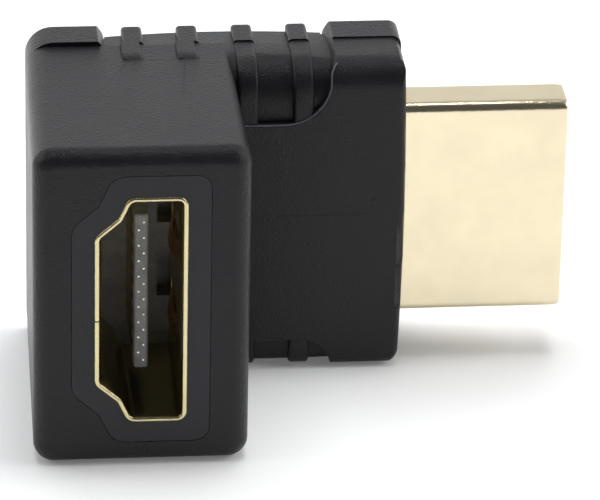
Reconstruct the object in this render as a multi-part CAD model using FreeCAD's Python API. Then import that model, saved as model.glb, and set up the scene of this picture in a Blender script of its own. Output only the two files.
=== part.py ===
import FreeCAD, Part
import math
import os

# Right angle adapter for flat 19-contact digital video plugs and sockets.
# While building, the origin is the middle of the socket mouth: +X is the way the plug points,
# +Y runs from the mouth into the housing and +Z is up. At the end the part is moved so that
# its origin is the middle of its foot, on the surface it stands on. Sizes are in millimetres.

# Mating outline shared by the socket opening and the plug
OPENING_WIDTH = 14.0
OPENING_THICKNESS = 4.55
OPENING_SIDE = 2.85
STEP_RUN = 0.55
STEP_WIDTH = 11.6
NARROW_WIDTH = 9.3
SOCKET_WIDE_CORNER = 0.32
PLUG_WIDE_CORNER = 0.65
STEP_CORNER = 0.4
MATING_CLEARANCE = 0.05
SHEET = 0.3
SEAM_GAP = 0.08

# Socket
SOCKET_PROUD = 0.1
MOUTH_FLARE = 0.14
MOUTH_FLARE_LENGTH = 0.7
SOCKET_SEAM_Z = -0.6
MOUTH_ROUNDING = 0.08
CAVITY_DEPTH = 9.3
SOCKET_BLOCK = 2.7
TONGUE_TIP = 2.8
TONGUE_WIDTH = 10.1
TONGUE_THICKNESS = 0.7
TONGUE_OFFSET = 0.14
TONGUE_TIP_ROUNDING = 0.15
SPRING_SPACING = 4.9
SPRING_WIDTH = 1.5
SPRING_THICKNESS = 0.2
SPRING_ROOT = 7.4
SPRING_TIP = 2.4
SPRING_BULGE = 0.44
SPRING_CREST = 0.62
SPRING_BEND = 3.0
SPRING_WINDOW_MARGIN = 0.25
SPRING_POCKET_WIDTH = 2.7
SPRING_POCKET_DEPTH = 0.75
SPRING_POCKET_LENGTH = 1.5

# Contacts
CONTACT_PITCH = 1.0
WIDE_ROW_COUNT = 10
NARROW_ROW_COUNT = 9
CONTACT_WIDTH = 0.45
CONTACT_THICKNESS = 0.18
CONTACT_PROUD = 0.04
CONTACT_SETBACK = 1.2
CONTACT_NIB_WIDTH = 0.2
CONTACT_NIB_INSET = 0.06
CONTACT_NIB_LAP = 0.3
CONTACT_FOOT = 1.3
CONTACT_BEND = 0.15

# Circuit board
BOARD_THICKNESS = 0.8
BOARD_HEIGHT = 15.2
BOARD_LEFT_MARGIN = 1.4
BOARD_CORNER = 0.6

# Plug
PLUG_EXPOSED = 9.7
PLUG_BURIED = 4.1
PLUG_TIP_TAPER = 0.08
PLUG_TIP_TAPER_LENGTH = 0.5
PLUG_SEAM_Z = 0.8
PLUG_INSERT_RECESS = 0.7
PLUG_SLOT_DEPTH = 7.6
PLUG_SLOT_MARGIN = 0.15
PLUG_CONTACT_SETBACK = 0.8
PLUG_TAIL = 1.6

# Inner mould round the socket and core mould round the board
MOULD_MARGIN = 1.35
MOULD_WIDE_CORNER = 0.9
MOULD_STEP_CORNER = 1.2
MOULD_EDGE = 0.05
MOULD_BACK = 0.4
CORE_WALL = 1.0
CORE_HEIGHT = 17.2
CORE_ROUNDING = 1.0
CORE_COVER = 1.4

# Socket arm of the housing, with its sides measured from the middle of the socket
ARM_LEFT = 6.28
ARM_RIGHT = 6.4
ARM_HEIGHT = 20.3
ARM_FLARE = 0.02
ARM_SLOPE = 0.015
ARM_CORNER = 1.2
ARM_INNER_CORNER = 0.35
ARM_FRONT_ROUNDING = 1.05

# Plug head of the housing, in a front and a back half that meet at the mould's parting line.
# The head begins one lap before the back end of the mould round the socket.
HEAD_LAP = 1.0
HEAD_DEPTH = 6.5
HEAD_FRONT_HALF = 4.0
PARTING_STEP = 0.1
HEAD_TOP = 10.2
HEAD_BOTTOM = 10.15
HEAD_RIGHT = 16.75
HEAD_CROWN = 0.2
HEAD_RIGHT_TOP_CORNER = 0.6
HEAD_RIGHT_BOTTOM_CORNER = 1.0
HEAD_LEFT_TOP_CORNER = 1.65
HEAD_LEFT_BOTTOM_CORNER = 1.3
HEAD_SIDE_ROUNDING = 0.45
HEAD_TOP_ROUNDING = 1.7
HEAD_FOOT_ROUNDING = 0.75
HEAD_BACK_ROUNDING = 0.25

# Finger grips in the top and bottom of the head
TOP_GRIP_HALF_WIDTH = 6.6
TOP_GRIP_BEVEL = 0.45
TOP_GRIP_BEVEL_DEPTH = 0.7
TOP_GRIP_KINK_ROUNDING = 1.0
TOP_GRIP_DROP = 3.9
TOP_GRIP_CORNER = 2.8
BOTTOM_GRIP_HALF_WIDTH = 6.9
BOTTOM_GRIP_RISE = 1.95
BOTTOM_GRIP_CORNER = 1.9
GRIP_RIM_ROUNDING = 0.14
FLOOR_DEPTH = 0.3
FLOOR_CROWN = 0.2
FLOOR_FALL = 0.18
FLOOR_FACE_DEPTH = 0.45
FLOOR_TOP_ROUNDING = 2.6
FLOOR_FOOT_ROUNDING = 0.6
RIB_COUNT = 4
RIB_PITCH = 3.31
RIB_WIDTH = 1.24
RIB_DEPTH = 0.08
RIB_INSET = 0.05
RIB_SIDE_ROUNDING = 0.22
RIB_TOP_ROUNDING = 2.1
RIB_FOOT_ROUNDING = 0.75

# Length by which cutting tools run past the faces they cut
PAST = 1.0

vec = FreeCAD.Vector
socket_depth = CAVITY_DEPTH + SOCKET_BLOCK
mould_depth = socket_depth + MOULD_BACK
head_front = mould_depth - HEAD_LAP
head_back = head_front + HEAD_DEPTH
parting = head_front + HEAD_FRONT_HALF
plug_middle = head_front + HEAD_DEPTH / 2
slot_middle = plug_middle - TONGUE_OFFSET
board_front = slot_middle - BOARD_THICKNESS / 2
board_back = slot_middle + BOARD_THICKNESS / 2
plug_tip = HEAD_RIGHT + PLUG_EXPOSED
plug_root = HEAD_RIGHT - PLUG_BURIED
head_left = -(ARM_LEFT - ARM_FLARE * head_back)
head_middle = (head_left + HEAD_RIGHT) / 2


def rounded_wire(points, radii, place):
    """Closed wire through a polygon whose corners are tangent arcs of the given radii."""
    count = len(points)
    starts = []
    middles = []
    ends = []
    for i, (u, v) in enumerate(points):
        before = points[i - 1]
        after = points[(i + 1) % count]
        to_before = vec(before[0] - u, before[1] - v, 0).normalize()
        to_after = vec(after[0] - u, after[1] - v, 0).normalize()
        half = to_before.getAngle(to_after) / 2
        corner = vec(u, v, 0)
        if radii[i] == 0:
            starts.append(corner)
            middles.append(None)
            ends.append(corner)
            continue
        reach = radii[i] / math.tan(half)
        inward = (to_before + to_after).normalize()
        centre = corner + inward * (radii[i] / math.sin(half))
        starts.append(corner + to_before * reach)
        middles.append(centre - inward * radii[i])
        ends.append(corner + to_after * reach)
    edges = []
    for i in range(count):
        if middles[i] is not None:
            arc = [place(p.x, p.y) for p in (starts[i], middles[i], ends[i])]
            edges.append(Part.Arc(*arc).toShape())
        leave = place(ends[i].x, ends[i].y)
        reach_next = place(starts[(i + 1) % count].x, starts[(i + 1) % count].y)
        if leave.distanceToPoint(reach_next) > 1e-6:
            edges.append(Part.makeLine(leave, reach_next))
    return Part.Wire(edges)


def grown_polygon(points, growth):
    """Polygon, given anticlockwise, with every side moved outwards by the same amount."""
    grown = []
    count = len(points)
    for i, (u, v) in enumerate(points):
        before = points[i - 1]
        after = points[(i + 1) % count]
        a = vec(u - before[0], v - before[1], 0).normalize()
        b = vec(after[0] - u, after[1] - v, 0).normalize()
        out_a = vec(a.y, -a.x, 0)
        out_b = vec(b.y, -b.x, 0)
        shift = (out_a + out_b) * (growth / (1 + out_a.dot(out_b)))
        grown.append((u + shift.x, v + shift.y))
    return grown


def mating_polygon(spread=0):
    """Corners of the socket opening, its long sides moved apart by a spread: u runs to its wide side."""
    wide = OPENING_THICKNESS / 2 + spread
    side_end = OPENING_THICKNESS / 2 - OPENING_SIDE
    upper = [
        (wide, OPENING_WIDTH / 2),
        (side_end, OPENING_WIDTH / 2),
        (side_end - STEP_RUN, STEP_WIDTH / 2),
        (-wide, NARROW_WIDTH / 2),
    ]
    lower = [(u, -v) for u, v in reversed(upper)]
    return upper + lower


def mating_wire(growth, corner, place, spread=0):
    """Outline of the opening grown by a distance, with its bends rounded to suit."""
    bend = STEP_CORNER + growth
    hollow = STEP_CORNER + SHEET - growth
    wide = corner + growth
    radii = [wide, bend, hollow, bend, bend, hollow, bend, wide]
    return rounded_wire(grown_polygon(mating_polygon(spread), growth), radii, place)


def socket_at(y):
    """Placing of an outline across the socket, with its wide side to +X."""
    return lambda u, v: vec(u, y, v)


def plug_at(x):
    """Placing of an outline across the plug, with its wide side to -Y."""
    return lambda u, v: vec(x, plug_middle - u, v)


def swept(wire, travel):
    return Part.Face(wire).extrude(travel)


def block(x0, x1, y0, y1, z0, z1):
    return Part.makeBox(x1 - x0, y1 - y0, z1 - z0, vec(x0, y0, z0))


def rows():
    """Row side and height of each contact, wide row first, each from the top down."""
    places = []
    for side, count in ((1, WIDE_ROW_COUNT), (-1, NARROW_ROW_COUNT)):
        for i in range(count):
            places.append((side, ((count - 1) / 2 - i) * CONTACT_PITCH))
    return places


def flat_edges(shape, axis, level):
    """Edges that lie wholly in the plane where the axis has the given level."""
    found = []
    for edge in shape.Edges:
        box = edge.BoundBox
        low = getattr(box, axis + "Min")
        high = getattr(box, axis + "Max")
        if abs(low - level) < 1e-4 and abs(high - level) < 1e-4:
            found.append(edge)
    return found


def nearest_edge(shape, x, z):
    """Edge whose middle lies nearest to a place, looking along Y."""
    return min(shape.Edges, key=lambda e: math.hypot(e.CenterOfMass.x - x, e.CenterOfMass.z - z))


def arm_body():
    """Socket arm: a block that widens towards its mouth, rounded along and round its front."""
    wires = []
    for y, inner_corner in ((0, ARM_CORNER), (parting, ARM_INNER_CORNER)):
        half = ARM_HEIGHT / 2 - ARM_SLOPE * y
        left = -(ARM_LEFT - ARM_FLARE * y)
        right = ARM_RIGHT - ARM_FLARE * y
        corners = [(left, -half), (right, -half), (right, half), (left, half)]
        radii = [ARM_CORNER, ARM_CORNER, inner_corner, ARM_CORNER]
        wires.append(rounded_wire(corners, radii, socket_at(y)))
    body = Part.makeLoft(wires, True, True)
    return body.makeFillet(ARM_FRONT_ROUNDING, flat_edges(body, "Y", 0))


def crowned_block(left, y0, y1, inset, left_corners):
    """Head between two depths: its plug side is bowed outwards and its long edges are rounded."""
    top = HEAD_TOP - inset
    bottom = -HEAD_BOTTOM + inset
    bow = HEAD_RIGHT - inset
    right = bow - HEAD_CROWN
    edges = [
        Part.Arc(vec(right, y0, bottom), vec(bow, y0, (bottom + top) / 2), vec(right, y0, top)).toShape(),
        Part.makeLine(vec(right, y0, top), vec(left, y0, top)),
        Part.makeLine(vec(left, y0, top), vec(left, y0, bottom)),
        Part.makeLine(vec(left, y0, bottom), vec(right, y0, bottom)),
    ]
    body = swept(Part.Wire(edges), vec(0, y1 - y0, 0))
    body = body.makeFillet(HEAD_RIGHT_TOP_CORNER, [nearest_edge(body, right, top)])
    body = body.makeFillet(HEAD_RIGHT_BOTTOM_CORNER, [nearest_edge(body, right, bottom)])
    if left_corners:
        body = body.makeFillet(HEAD_LEFT_TOP_CORNER, [nearest_edge(body, left, top)])
        body = body.makeFillet(HEAD_LEFT_BOTTOM_CORNER, [nearest_edge(body, left, bottom)])
    return body


def side_bar(x0, x1, front, back, bottom, top, radii):
    """Bar along X with a rounded side section; its radii run from the front foot anticlockwise."""
    corners = [(front, bottom), (back, bottom), (back, top), (front, top)]
    wire = rounded_wire(corners, radii, lambda y, z: vec(x0, y, z))
    return swept(wire, vec(x1 - x0, 0, 0))


def front_half():
    """Head in front of the parting line, from inside the arm to the plug side."""
    body = crowned_block(0, head_front, parting, PARTING_STEP, False)
    body = body.makeFillet(HEAD_SIDE_ROUNDING, flat_edges(body, "Y", head_front))
    radii = [HEAD_FOOT_ROUNDING, 0, 0, HEAD_TOP_ROUNDING]
    bottom = -HEAD_BOTTOM + PARTING_STEP
    top = HEAD_TOP - PARTING_STEP
    x0 = HEAD_SIDE_ROUNDING
    return body.common(side_bar(x0, HEAD_RIGHT + PAST, head_front, parting, bottom, top, radii))


def back_half():
    """Head behind the parting line, a little larger than its front half."""
    body = crowned_block(head_left, parting, head_back, 0, True)
    return body.makeFillet(HEAD_BACK_ROUNDING, flat_edges(body, "Y", head_back))


def grip_notch(right, radii, sign):
    """Notch through the head with a side profile and its mirror image, upwards or downwards."""
    points = right + [(-u, v) for u, v in reversed(right)]
    place = lambda u, v: vec(head_middle + u, head_front - PAST, sign * v)
    return swept(rounded_wire(points, radii + radii[::-1], place), vec(0, HEAD_DEPTH + 2 * PAST, 0))


def top_notch():
    """Notch of the top grip, with bevelled sides and wide round corners."""
    slope = TOP_GRIP_BEVEL / TOP_GRIP_BEVEL_DEPTH
    wide = TOP_GRIP_HALF_WIDTH + TOP_GRIP_BEVEL + slope * PAST
    right = [
        (wide, HEAD_TOP + PAST),
        (TOP_GRIP_HALF_WIDTH, HEAD_TOP - TOP_GRIP_BEVEL_DEPTH),
        (TOP_GRIP_HALF_WIDTH, HEAD_TOP - TOP_GRIP_DROP),
    ]
    return grip_notch(right, [0, TOP_GRIP_KINK_ROUNDING, TOP_GRIP_CORNER], 1)


def bottom_notch():
    """Notch of the bottom grip, with round corners only."""
    right = [
        (BOTTOM_GRIP_HALF_WIDTH, HEAD_BOTTOM + PAST),
        (BOTTOM_GRIP_HALF_WIDTH, HEAD_BOTTOM - BOTTOM_GRIP_RISE),
    ]
    return grip_notch(right, [0, BOTTOM_GRIP_CORNER], -1)


def notched(body, notch):
    """Front half of the head with a notch cut in it, whose rim is rounded where it shows."""
    cut = body.cut(notch)
    rim = []
    for edge in cut.Edges:
        middle = Part.Vertex(edge.valueAt((edge.FirstParameter + edge.LastParameter) / 2))
        on_both = all(middle.distToShape(shape.Shells[0])[0] < 1e-5 for shape in (notch, body))
        inside_arm = edge.BoundBox.XMax < body.BoundBox.XMin + 1e-4
        if on_both and not inside_arm and abs(middle.Point.y - parting) > 1e-4:
            rim.append(edge)
    return cut.makeFillet(GRIP_RIM_ROUNDING, rim)


def floor_wire(y, sink):
    """Outline of the sunk body under both grips, crowned so that each floor is highest in its middle."""
    reach = TOP_GRIP_HALF_WIDTH + TOP_GRIP_BEVEL
    left = head_middle - reach
    right = head_middle + reach
    top = HEAD_TOP - FLOOR_DEPTH - sink
    bottom = -HEAD_BOTTOM + FLOOR_DEPTH + sink
    high = top - FLOOR_CROWN
    low = bottom + FLOOR_CROWN
    edges = [
        Part.Arc(vec(left, y, high), vec(head_middle, y, top), vec(right, y, high)).toShape(),
        Part.makeLine(vec(right, y, high), vec(right, y, low)),
        Part.Arc(vec(right, y, low), vec(head_middle, y, bottom), vec(left, y, low)).toShape(),
        Part.makeLine(vec(left, y, low), vec(left, y, high)),
    ]
    return Part.Wire(edges)


def grip_floors():
    """Sunk body under both grips, in a rounded front half and a back half that falls away."""
    front = head_front + FLOOR_FACE_DEPTH
    back = head_back - FLOOR_FACE_DEPTH
    reach = TOP_GRIP_HALF_WIDTH + TOP_GRIP_BEVEL + PAST
    top = HEAD_TOP - FLOOR_DEPTH
    bottom = -HEAD_BOTTOM + FLOOR_DEPTH
    radii = [FLOOR_FOOT_ROUNDING, 0, 0, FLOOR_TOP_ROUNDING]
    bar = side_bar(head_middle - reach, head_middle + reach, front, parting, bottom, top, radii)
    front_floor = bar.common(swept(floor_wire(front, 0), vec(0, parting - front, 0)))
    back_floor = Part.makeLoft([floor_wire(parting, 0), floor_wire(back, FLOOR_FALL)], True, True)
    back_floor = back_floor.makeFillet(HEAD_BACK_ROUNDING, flat_edges(back_floor, "Y", back))
    return [front_floor, back_floor]


def rib_half(x, front, back, sink, radii):
    """Bar of one rib on one side of the parting line, with its outer edges rounded."""
    top = HEAD_TOP - RIB_DEPTH - sink
    bottom = -HEAD_BOTTOM + RIB_DEPTH + sink
    bar = side_bar(x - RIB_WIDTH / 2, x + RIB_WIDTH / 2, front, back, bottom, top, radii)
    sides = []
    for edge in bar.Edges:
        box = edge.BoundBox
        at_parting = abs(box.YMin - parting) < 1e-4 and abs(box.YMax - parting) < 1e-4
        if box.XLength < 1e-4 and not at_parting:
            sides.append(edge)
    return bar.makeFillet(RIB_SIDE_ROUNDING, sides)


def grip_ribs():
    """Ribs that follow the head's section over its top and foot and die into the grips' ends."""
    front = head_front + RIB_INSET
    back = head_back - RIB_INSET
    left = head_left - PAST
    right = HEAD_RIGHT + PAST
    top_end = HEAD_TOP - TOP_GRIP_DROP - RIB_INSET
    bottom_end = -HEAD_BOTTOM + BOTTOM_GRIP_RISE + RIB_INSET
    middle = block(left, right, head_front - PAST, head_back + PAST, bottom_end, top_end)
    ribs = []
    for i in range(RIB_COUNT):
        x = head_middle + (i - (RIB_COUNT - 1) / 2) * RIB_PITCH
        halves = (
            rib_half(x, front, parting, PARTING_STEP, [RIB_FOOT_ROUNDING, 0, 0, RIB_TOP_ROUNDING]),
            rib_half(x, parting, back, 0, [0, HEAD_BACK_ROUNDING, HEAD_BACK_ROUNDING, 0]),
        )
        for half in halves:
            ribs.extend(half.cut(middle).Solids)
    return ribs


def housing(voids):
    """Over-mould: arm and head in one piece, with ribbed finger grips and room for the inside."""
    front = front_half()
    back = back_half()
    for notch in (top_notch(), bottom_notch()):
        front = notched(front, notch)
        back = back.cut(notch)
    body = arm_body().multiFuse([front, back] + grip_floors() + grip_ribs()).removeSplitter()
    for void in voids:
        body = body.cut(void)
    return body


def mould_envelope():
    """Inner mould round the socket: the rim's outline grown, flush with the arm's front."""
    points = grown_polygon(mating_polygon(MOUTH_FLARE), SHEET + MOULD_MARGIN)
    wide = MOULD_WIDE_CORNER
    bend = MOULD_STEP_CORNER
    radii = [wide, bend, bend / 2, bend, bend, bend / 2, bend, wide]
    return swept(rounded_wire(points, radii, socket_at(0)), vec(0, mould_depth, 0))


def core_envelope():
    """Core mould in the head, round the board and the plug's root."""
    half = CORE_HEIGHT / 2
    left = head_left + CORE_WALL
    right = HEAD_RIGHT - CORE_COVER
    core = block(left, right, mould_depth, head_back - CORE_WALL, -half, half)
    long_edges = [e for e in core.Edges if e.BoundBox.YLength > 1]
    return core.makeFillet(CORE_ROUNDING, long_edges)


def socket_solid(growth):
    """Socket outline grown by a distance, from its proud rim to its back, with its flared mouth."""
    mouth = mating_wire(growth, SOCKET_WIDE_CORNER, socket_at(-SOCKET_PROUD), MOUTH_FLARE)
    neck = mating_wire(growth, SOCKET_WIDE_CORNER, socket_at(MOUTH_FLARE_LENGTH))
    flare = Part.makeLoft([mouth, neck], True, True)
    body = swept(neck, vec(0, socket_depth - MOUTH_FLARE_LENGTH, 0))
    return flare.fuse(body).removeSplitter()


def spring_leaf(z):
    """Grounding leaf cut from the wide wall, bowed into the opening and free at its front."""
    wall = OPENING_THICKNESS / 2
    crest = wall - SPRING_BULGE
    touch = SPRING_TIP + (SPRING_ROOT - SPRING_TIP) * SPRING_CREST
    outer = [(wall + SPRING_THICKNESS, SPRING_ROOT), (crest + SPRING_THICKNESS, touch), (wall, SPRING_TIP)]
    inner = [(wall - SPRING_THICKNESS, SPRING_TIP), (crest, touch), (wall, SPRING_ROOT)]
    radii = [0, SPRING_BEND, 0, 0, SPRING_BEND + SPRING_THICKNESS, 0]
    wire = rounded_wire(outer + inner, radii, lambda x, y: vec(x, y, z - SPRING_WIDTH / 2))
    return swept(wire, vec(0, 0, SPRING_WIDTH))


def socket_shell():
    """Folded sheet tube with a flared mouth, a seam in its narrow wall and two leaf springs."""
    shell = socket_solid(SHEET).cut(socket_solid(0))
    shell = shell.makeFillet(MOUTH_ROUNDING, flat_edges(shell, "Y", -SOCKET_PROUD))
    outside = OPENING_THICKNESS / 2 + SHEET + PAST
    inside = OPENING_THICKNESS / 2 - SPRING_THICKNESS / 2
    seam_low = SOCKET_SEAM_Z - SEAM_GAP / 2
    seam_high = SOCKET_SEAM_Z + SEAM_GAP / 2
    shell = shell.cut(block(-outside, -inside, -PAST, socket_depth + PAST, seam_low, seam_high))
    for z in (-SPRING_SPACING / 2, SPRING_SPACING / 2):
        half = SPRING_WIDTH / 2 + SPRING_WINDOW_MARGIN
        window = block(inside, outside, SPRING_TIP - SPRING_WINDOW_MARGIN, SPRING_ROOT, z - half, z + half)
        shell = shell.cut(window).fuse(spring_leaf(z))
    return shell.removeSplitter()


def socket_contact(side, z):
    """Contact of the socket: a blade in the tongue, its nib at the tongue's tip and its soldered foot."""
    face = TONGUE_OFFSET + side * TONGUE_THICKNESS / 2
    outer = face + side * CONTACT_PROUD
    inner = outer - side * CONTACT_THICKNESS
    toe = outer + side * CONTACT_FOOT
    tip = TONGUE_TIP + CONTACT_SETBACK
    heel = board_front - CONTACT_THICKNESS
    blade = [(inner, tip), (outer, tip), (outer, heel)]
    foot = [(toe, heel), (toe, board_front), (inner, board_front)]
    radii = [0, 0, CONTACT_BEND, 0, 0, CONTACT_BEND + CONTACT_THICKNESS]
    low = z - CONTACT_WIDTH / 2
    wire = rounded_wire(blade + foot, radii, lambda x, y: vec(x, y, low))
    near = TONGUE_OFFSET + side * CONTACT_NIB_INSET
    far = near + side * CONTACT_THICKNESS
    nib_low = z - CONTACT_NIB_WIDTH / 2
    nib_end = tip + CONTACT_NIB_LAP
    nib = block(min(near, far), max(near, far), TONGUE_TIP, nib_end, nib_low, nib_low + CONTACT_NIB_WIDTH)
    return swept(wire, vec(0, 0, CONTACT_WIDTH)).fuse(nib).removeSplitter()


def socket_insulator(contacts):
    """Moulded block that closes the back of the socket and carries the tongue."""
    rear = swept(mating_wire(0, SOCKET_WIDE_CORNER, socket_at(CAVITY_DEPTH)), vec(0, SOCKET_BLOCK, 0))
    wall = OPENING_THICKNESS / 2
    inner = wall - SPRING_POCKET_DEPTH
    end = CAVITY_DEPTH + SPRING_POCKET_LENGTH
    for z in (-SPRING_SPACING / 2, SPRING_SPACING / 2):
        half = SPRING_POCKET_WIDTH / 2
        rear = rear.cut(block(inner, wall + PAST, CAVITY_DEPTH - PAST, end, z - half, z + half))
    x0 = TONGUE_OFFSET - TONGUE_THICKNESS / 2
    x1 = TONGUE_OFFSET + TONGUE_THICKNESS / 2
    tongue = block(x0, x1, TONGUE_TIP, CAVITY_DEPTH + PAST, -TONGUE_WIDTH / 2, TONGUE_WIDTH / 2)
    tongue = tongue.makeFillet(TONGUE_TIP_ROUNDING, flat_edges(tongue, "Y", TONGUE_TIP))
    return rear.fuse(tongue).removeSplitter().cut(contacts)


def plug_solid(growth, start, end):
    return swept(mating_wire(growth, PLUG_WIDE_CORNER, plug_at(start)), vec(end - start, 0, 0))


def plug_shell():
    """Folded sheet tube of the plug, drawn in a little at its tip, with a seam behind."""
    outer = -MATING_CLEARANCE
    bend = plug_tip - PLUG_TIP_TAPER_LENGTH
    wide_end = mating_wire(outer, PLUG_WIDE_CORNER, plug_at(bend))
    narrow_end = mating_wire(outer - PLUG_TIP_TAPER, PLUG_WIDE_CORNER, plug_at(plug_tip))
    nose = Part.makeLoft([wide_end, narrow_end], True, True)
    tube = plug_solid(outer, plug_root, bend).fuse(nose).removeSplitter()
    tube = tube.cut(plug_solid(outer - SHEET, plug_root, plug_tip))
    tube = tube.makeFillet(MOUTH_ROUNDING, flat_edges(tube, "X", plug_tip))
    wall = plug_middle + OPENING_THICKNESS / 2
    low = PLUG_SEAM_Z - SEAM_GAP / 2
    seam = block(plug_root - PAST, plug_tip + PAST, wall - 2 * SHEET, wall + PAST, low, low + SEAM_GAP)
    return tube.cut(seam)


def plug_contact(side, z):
    """Contact of the plug: a blade on one face of the slot whose tail lies on the board."""
    row_face = board_front if side > 0 else board_back + CONTACT_THICKNESS
    tip = plug_tip - PLUG_INSERT_RECESS - PLUG_CONTACT_SETBACK
    low = z - CONTACT_WIDTH / 2
    front = row_face - CONTACT_THICKNESS
    blade = block(plug_root - PLUG_TAIL, tip, front, row_face, low, low + CONTACT_WIDTH)
    tip_edges = [e for e in flat_edges(blade, "X", tip) if e.BoundBox.ZLength > CONTACT_WIDTH / 2]
    return blade.makeFillet(CONTACT_THICKNESS / 3, tip_edges)


def plug_insulator(contacts):
    """Moulded insert of the plug, with the slot that takes a socket's tongue."""
    front = plug_tip - PLUG_INSERT_RECESS
    body = plug_solid(-MATING_CLEARANCE - SHEET, plug_root, front)
    half_slot = BOARD_THICKNESS / 2 + CONTACT_THICKNESS
    half_width = TONGUE_WIDTH / 2 + PLUG_SLOT_MARGIN
    low = slot_middle - half_slot
    high = slot_middle + half_slot
    slot = block(front - PLUG_SLOT_DEPTH, front + PAST, low, high, -half_width, half_width)
    return body.cut(slot).cut(contacts)


def circuit_board():
    """Board that joins the two connectors, standing across the socket's back."""
    left = head_left + CORE_WALL + BOARD_LEFT_MARGIN
    half = BOARD_HEIGHT / 2
    board = block(left, plug_root, board_front, board_back, -half, half)
    corners = [e for e in board.Edges if e.BoundBox.YLength > BOARD_THICKNESS / 2]
    return board.makeFillet(BOARD_CORNER, corners)


def inner_mould(hollows):
    """Mould round the socket, with a fine edge where it shows in the arm's front."""
    body = mould_envelope()
    body = body.makeChamfer(MOULD_EDGE, flat_edges(body, "Y", 0))
    return body.cut(socket_solid(SHEET)).cut(hollows)


def core_mould(hollows):
    """Mould that holds the board and the plug's root inside the head."""
    body = core_envelope().cut(plug_solid(-MATING_CLEARANCE, plug_root, HEAD_RIGHT))
    return body.cut(hollows)


def main():
    os.makedirs("parts", exist_ok=True)
    socket_contacts = [socket_contact(side, z) for side, z in rows()]
    plug_contacts = [plug_contact(side, z) for side, z in rows()]
    board = circuit_board()
    metal = Part.makeCompound(socket_contacts + plug_contacts)
    voids = (
        mould_envelope(),
        core_envelope(),
        plug_solid(-MATING_CLEARANCE, plug_root, HEAD_RIGHT + PAST),
    )
    parts = {
        "housing": housing(voids),
        "socket_inner_mould": inner_mould(metal).cut(board),
        "core_mould": core_mould(metal).cut(board),
        "socket_shell": socket_shell(),
        "socket_insulator": socket_insulator(Part.makeCompound(socket_contacts)),
        "circuit_board": board,
        "plug_shell": plug_shell(),
        "plug_insulator": plug_insulator(Part.makeCompound(plug_contacts)),
    }
    for i, contact in enumerate(socket_contacts):
        parts["socket_contact_%02d" % (i + 1)] = contact
    for i, contact in enumerate(plug_contacts):
        parts["plug_contact_%02d" % (i + 1)] = contact
    whole = Part.makeCompound(list(parts.values())).optimalBoundingBox()
    foot = vec((whole.XMin + whole.XMax) / 2, (whole.YMin + whole.YMax) / 2, whole.ZMin)
    for name, shape in parts.items():
        shape.translate(-foot)
        shape.exportStep("parts/%s.step" % name)


if __name__ == "__main__":
    main()
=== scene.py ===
import math

import bmesh
import bpy
import numpy as np
from bpy.props import FloatProperty, FloatVectorProperty, PointerProperty
from mathutils import Matrix, Vector


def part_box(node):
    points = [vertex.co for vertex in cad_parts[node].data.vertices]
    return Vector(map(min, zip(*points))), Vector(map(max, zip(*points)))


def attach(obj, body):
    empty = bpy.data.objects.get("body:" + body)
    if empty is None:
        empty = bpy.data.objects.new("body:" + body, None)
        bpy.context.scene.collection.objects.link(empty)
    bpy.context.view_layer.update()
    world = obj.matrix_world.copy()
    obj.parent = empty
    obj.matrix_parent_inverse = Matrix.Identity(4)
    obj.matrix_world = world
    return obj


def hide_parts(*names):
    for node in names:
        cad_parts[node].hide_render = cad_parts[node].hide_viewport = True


bl_info = {
    "name": "Right angle adapter",
    "version": (1, 0, 0),
    "blender": (4, 5, 0),
    "location": "View3D > Sidebar > Adapter",
    "description": "Dresses a right angle plug adapter: moulding, sheet shells, contacts and studio",
    "category": "Object",
}

MM = 0.001
BODY = "root"

# In a new piece, points nearer than MERGE become one and edges shorter than SLIVER go. WELD does
# that in a copy of a CAD node. Shading breaks at edges sharper than CREASE.
MERGE = 1e-7
SLIVER = 1e-8
WELD = 1e-6
CREASE = math.radians(32)

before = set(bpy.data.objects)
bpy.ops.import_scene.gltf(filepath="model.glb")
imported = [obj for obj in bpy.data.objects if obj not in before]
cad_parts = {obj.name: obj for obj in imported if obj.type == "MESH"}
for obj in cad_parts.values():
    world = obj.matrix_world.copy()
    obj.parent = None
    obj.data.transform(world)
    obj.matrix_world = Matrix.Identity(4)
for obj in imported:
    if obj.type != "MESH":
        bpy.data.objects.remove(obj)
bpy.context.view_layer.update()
HOUSING_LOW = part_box("housing")[0]
INSERT_LOW, INSERT_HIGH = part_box("socket_inner_mould")
PLUG_LOW, PLUG_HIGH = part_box("plug_shell")
SOCKET_LOW, SOCKET_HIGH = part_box("socket_shell")

# The middle of the socket's mouth, in the arm's front face, and the middle of the plug's tip.
# A piece's measures along X, Y and Z are from the mouth: right, into the housing, and up.
MOUTH = np.array(
    [
        (INSERT_LOW.x + INSERT_HIGH.x) / 2,
        HOUSING_LOW.y,
        (INSERT_LOW.z + INSERT_HIGH.z) / 2,
    ]
)
PLUG_TIP = np.array(
    [
        PLUG_HIGH.x,
        (PLUG_LOW.y + PLUG_HIGH.y) / 2,
        (PLUG_LOW.z + PLUG_HIGH.z) / 2,
    ]
)

# Height of each shell's seam on its narrow wall, and the arc steps in each corner of their outlines
SOCKET_SEAM = -0.6 * MM
PLUG_SEAM = 0.8 * MM
SOCKET_ARC_STEPS = 8
PLUG_ARC_STEPS = 14

# The head's front face, and where its top shoulder starts and how round it is, in millimetres
HEAD_FRONT = 11.4
SHOULDER_START = 8.5
SHOULDER_RADIUS = 1.7

# Where the grip's sunk floor begins, behind the arm's top
GRIP_FRONT = 15.45 * MM

# Depth of the mould's grain on each plastic, in metres
HOUSING_GRAIN = 46e-6
INSERT_GRAIN = 16e-6
FLASH_HIGHLIGHT_GRAIN = 8e-6

# The adapter's middle, which the lamps face
LAMP_AIM = Vector((0, 0, 0.01))

# Axes that the rolled sheets' lines follow
X_AXIS = 0
Y_AXIS = 1

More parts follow.
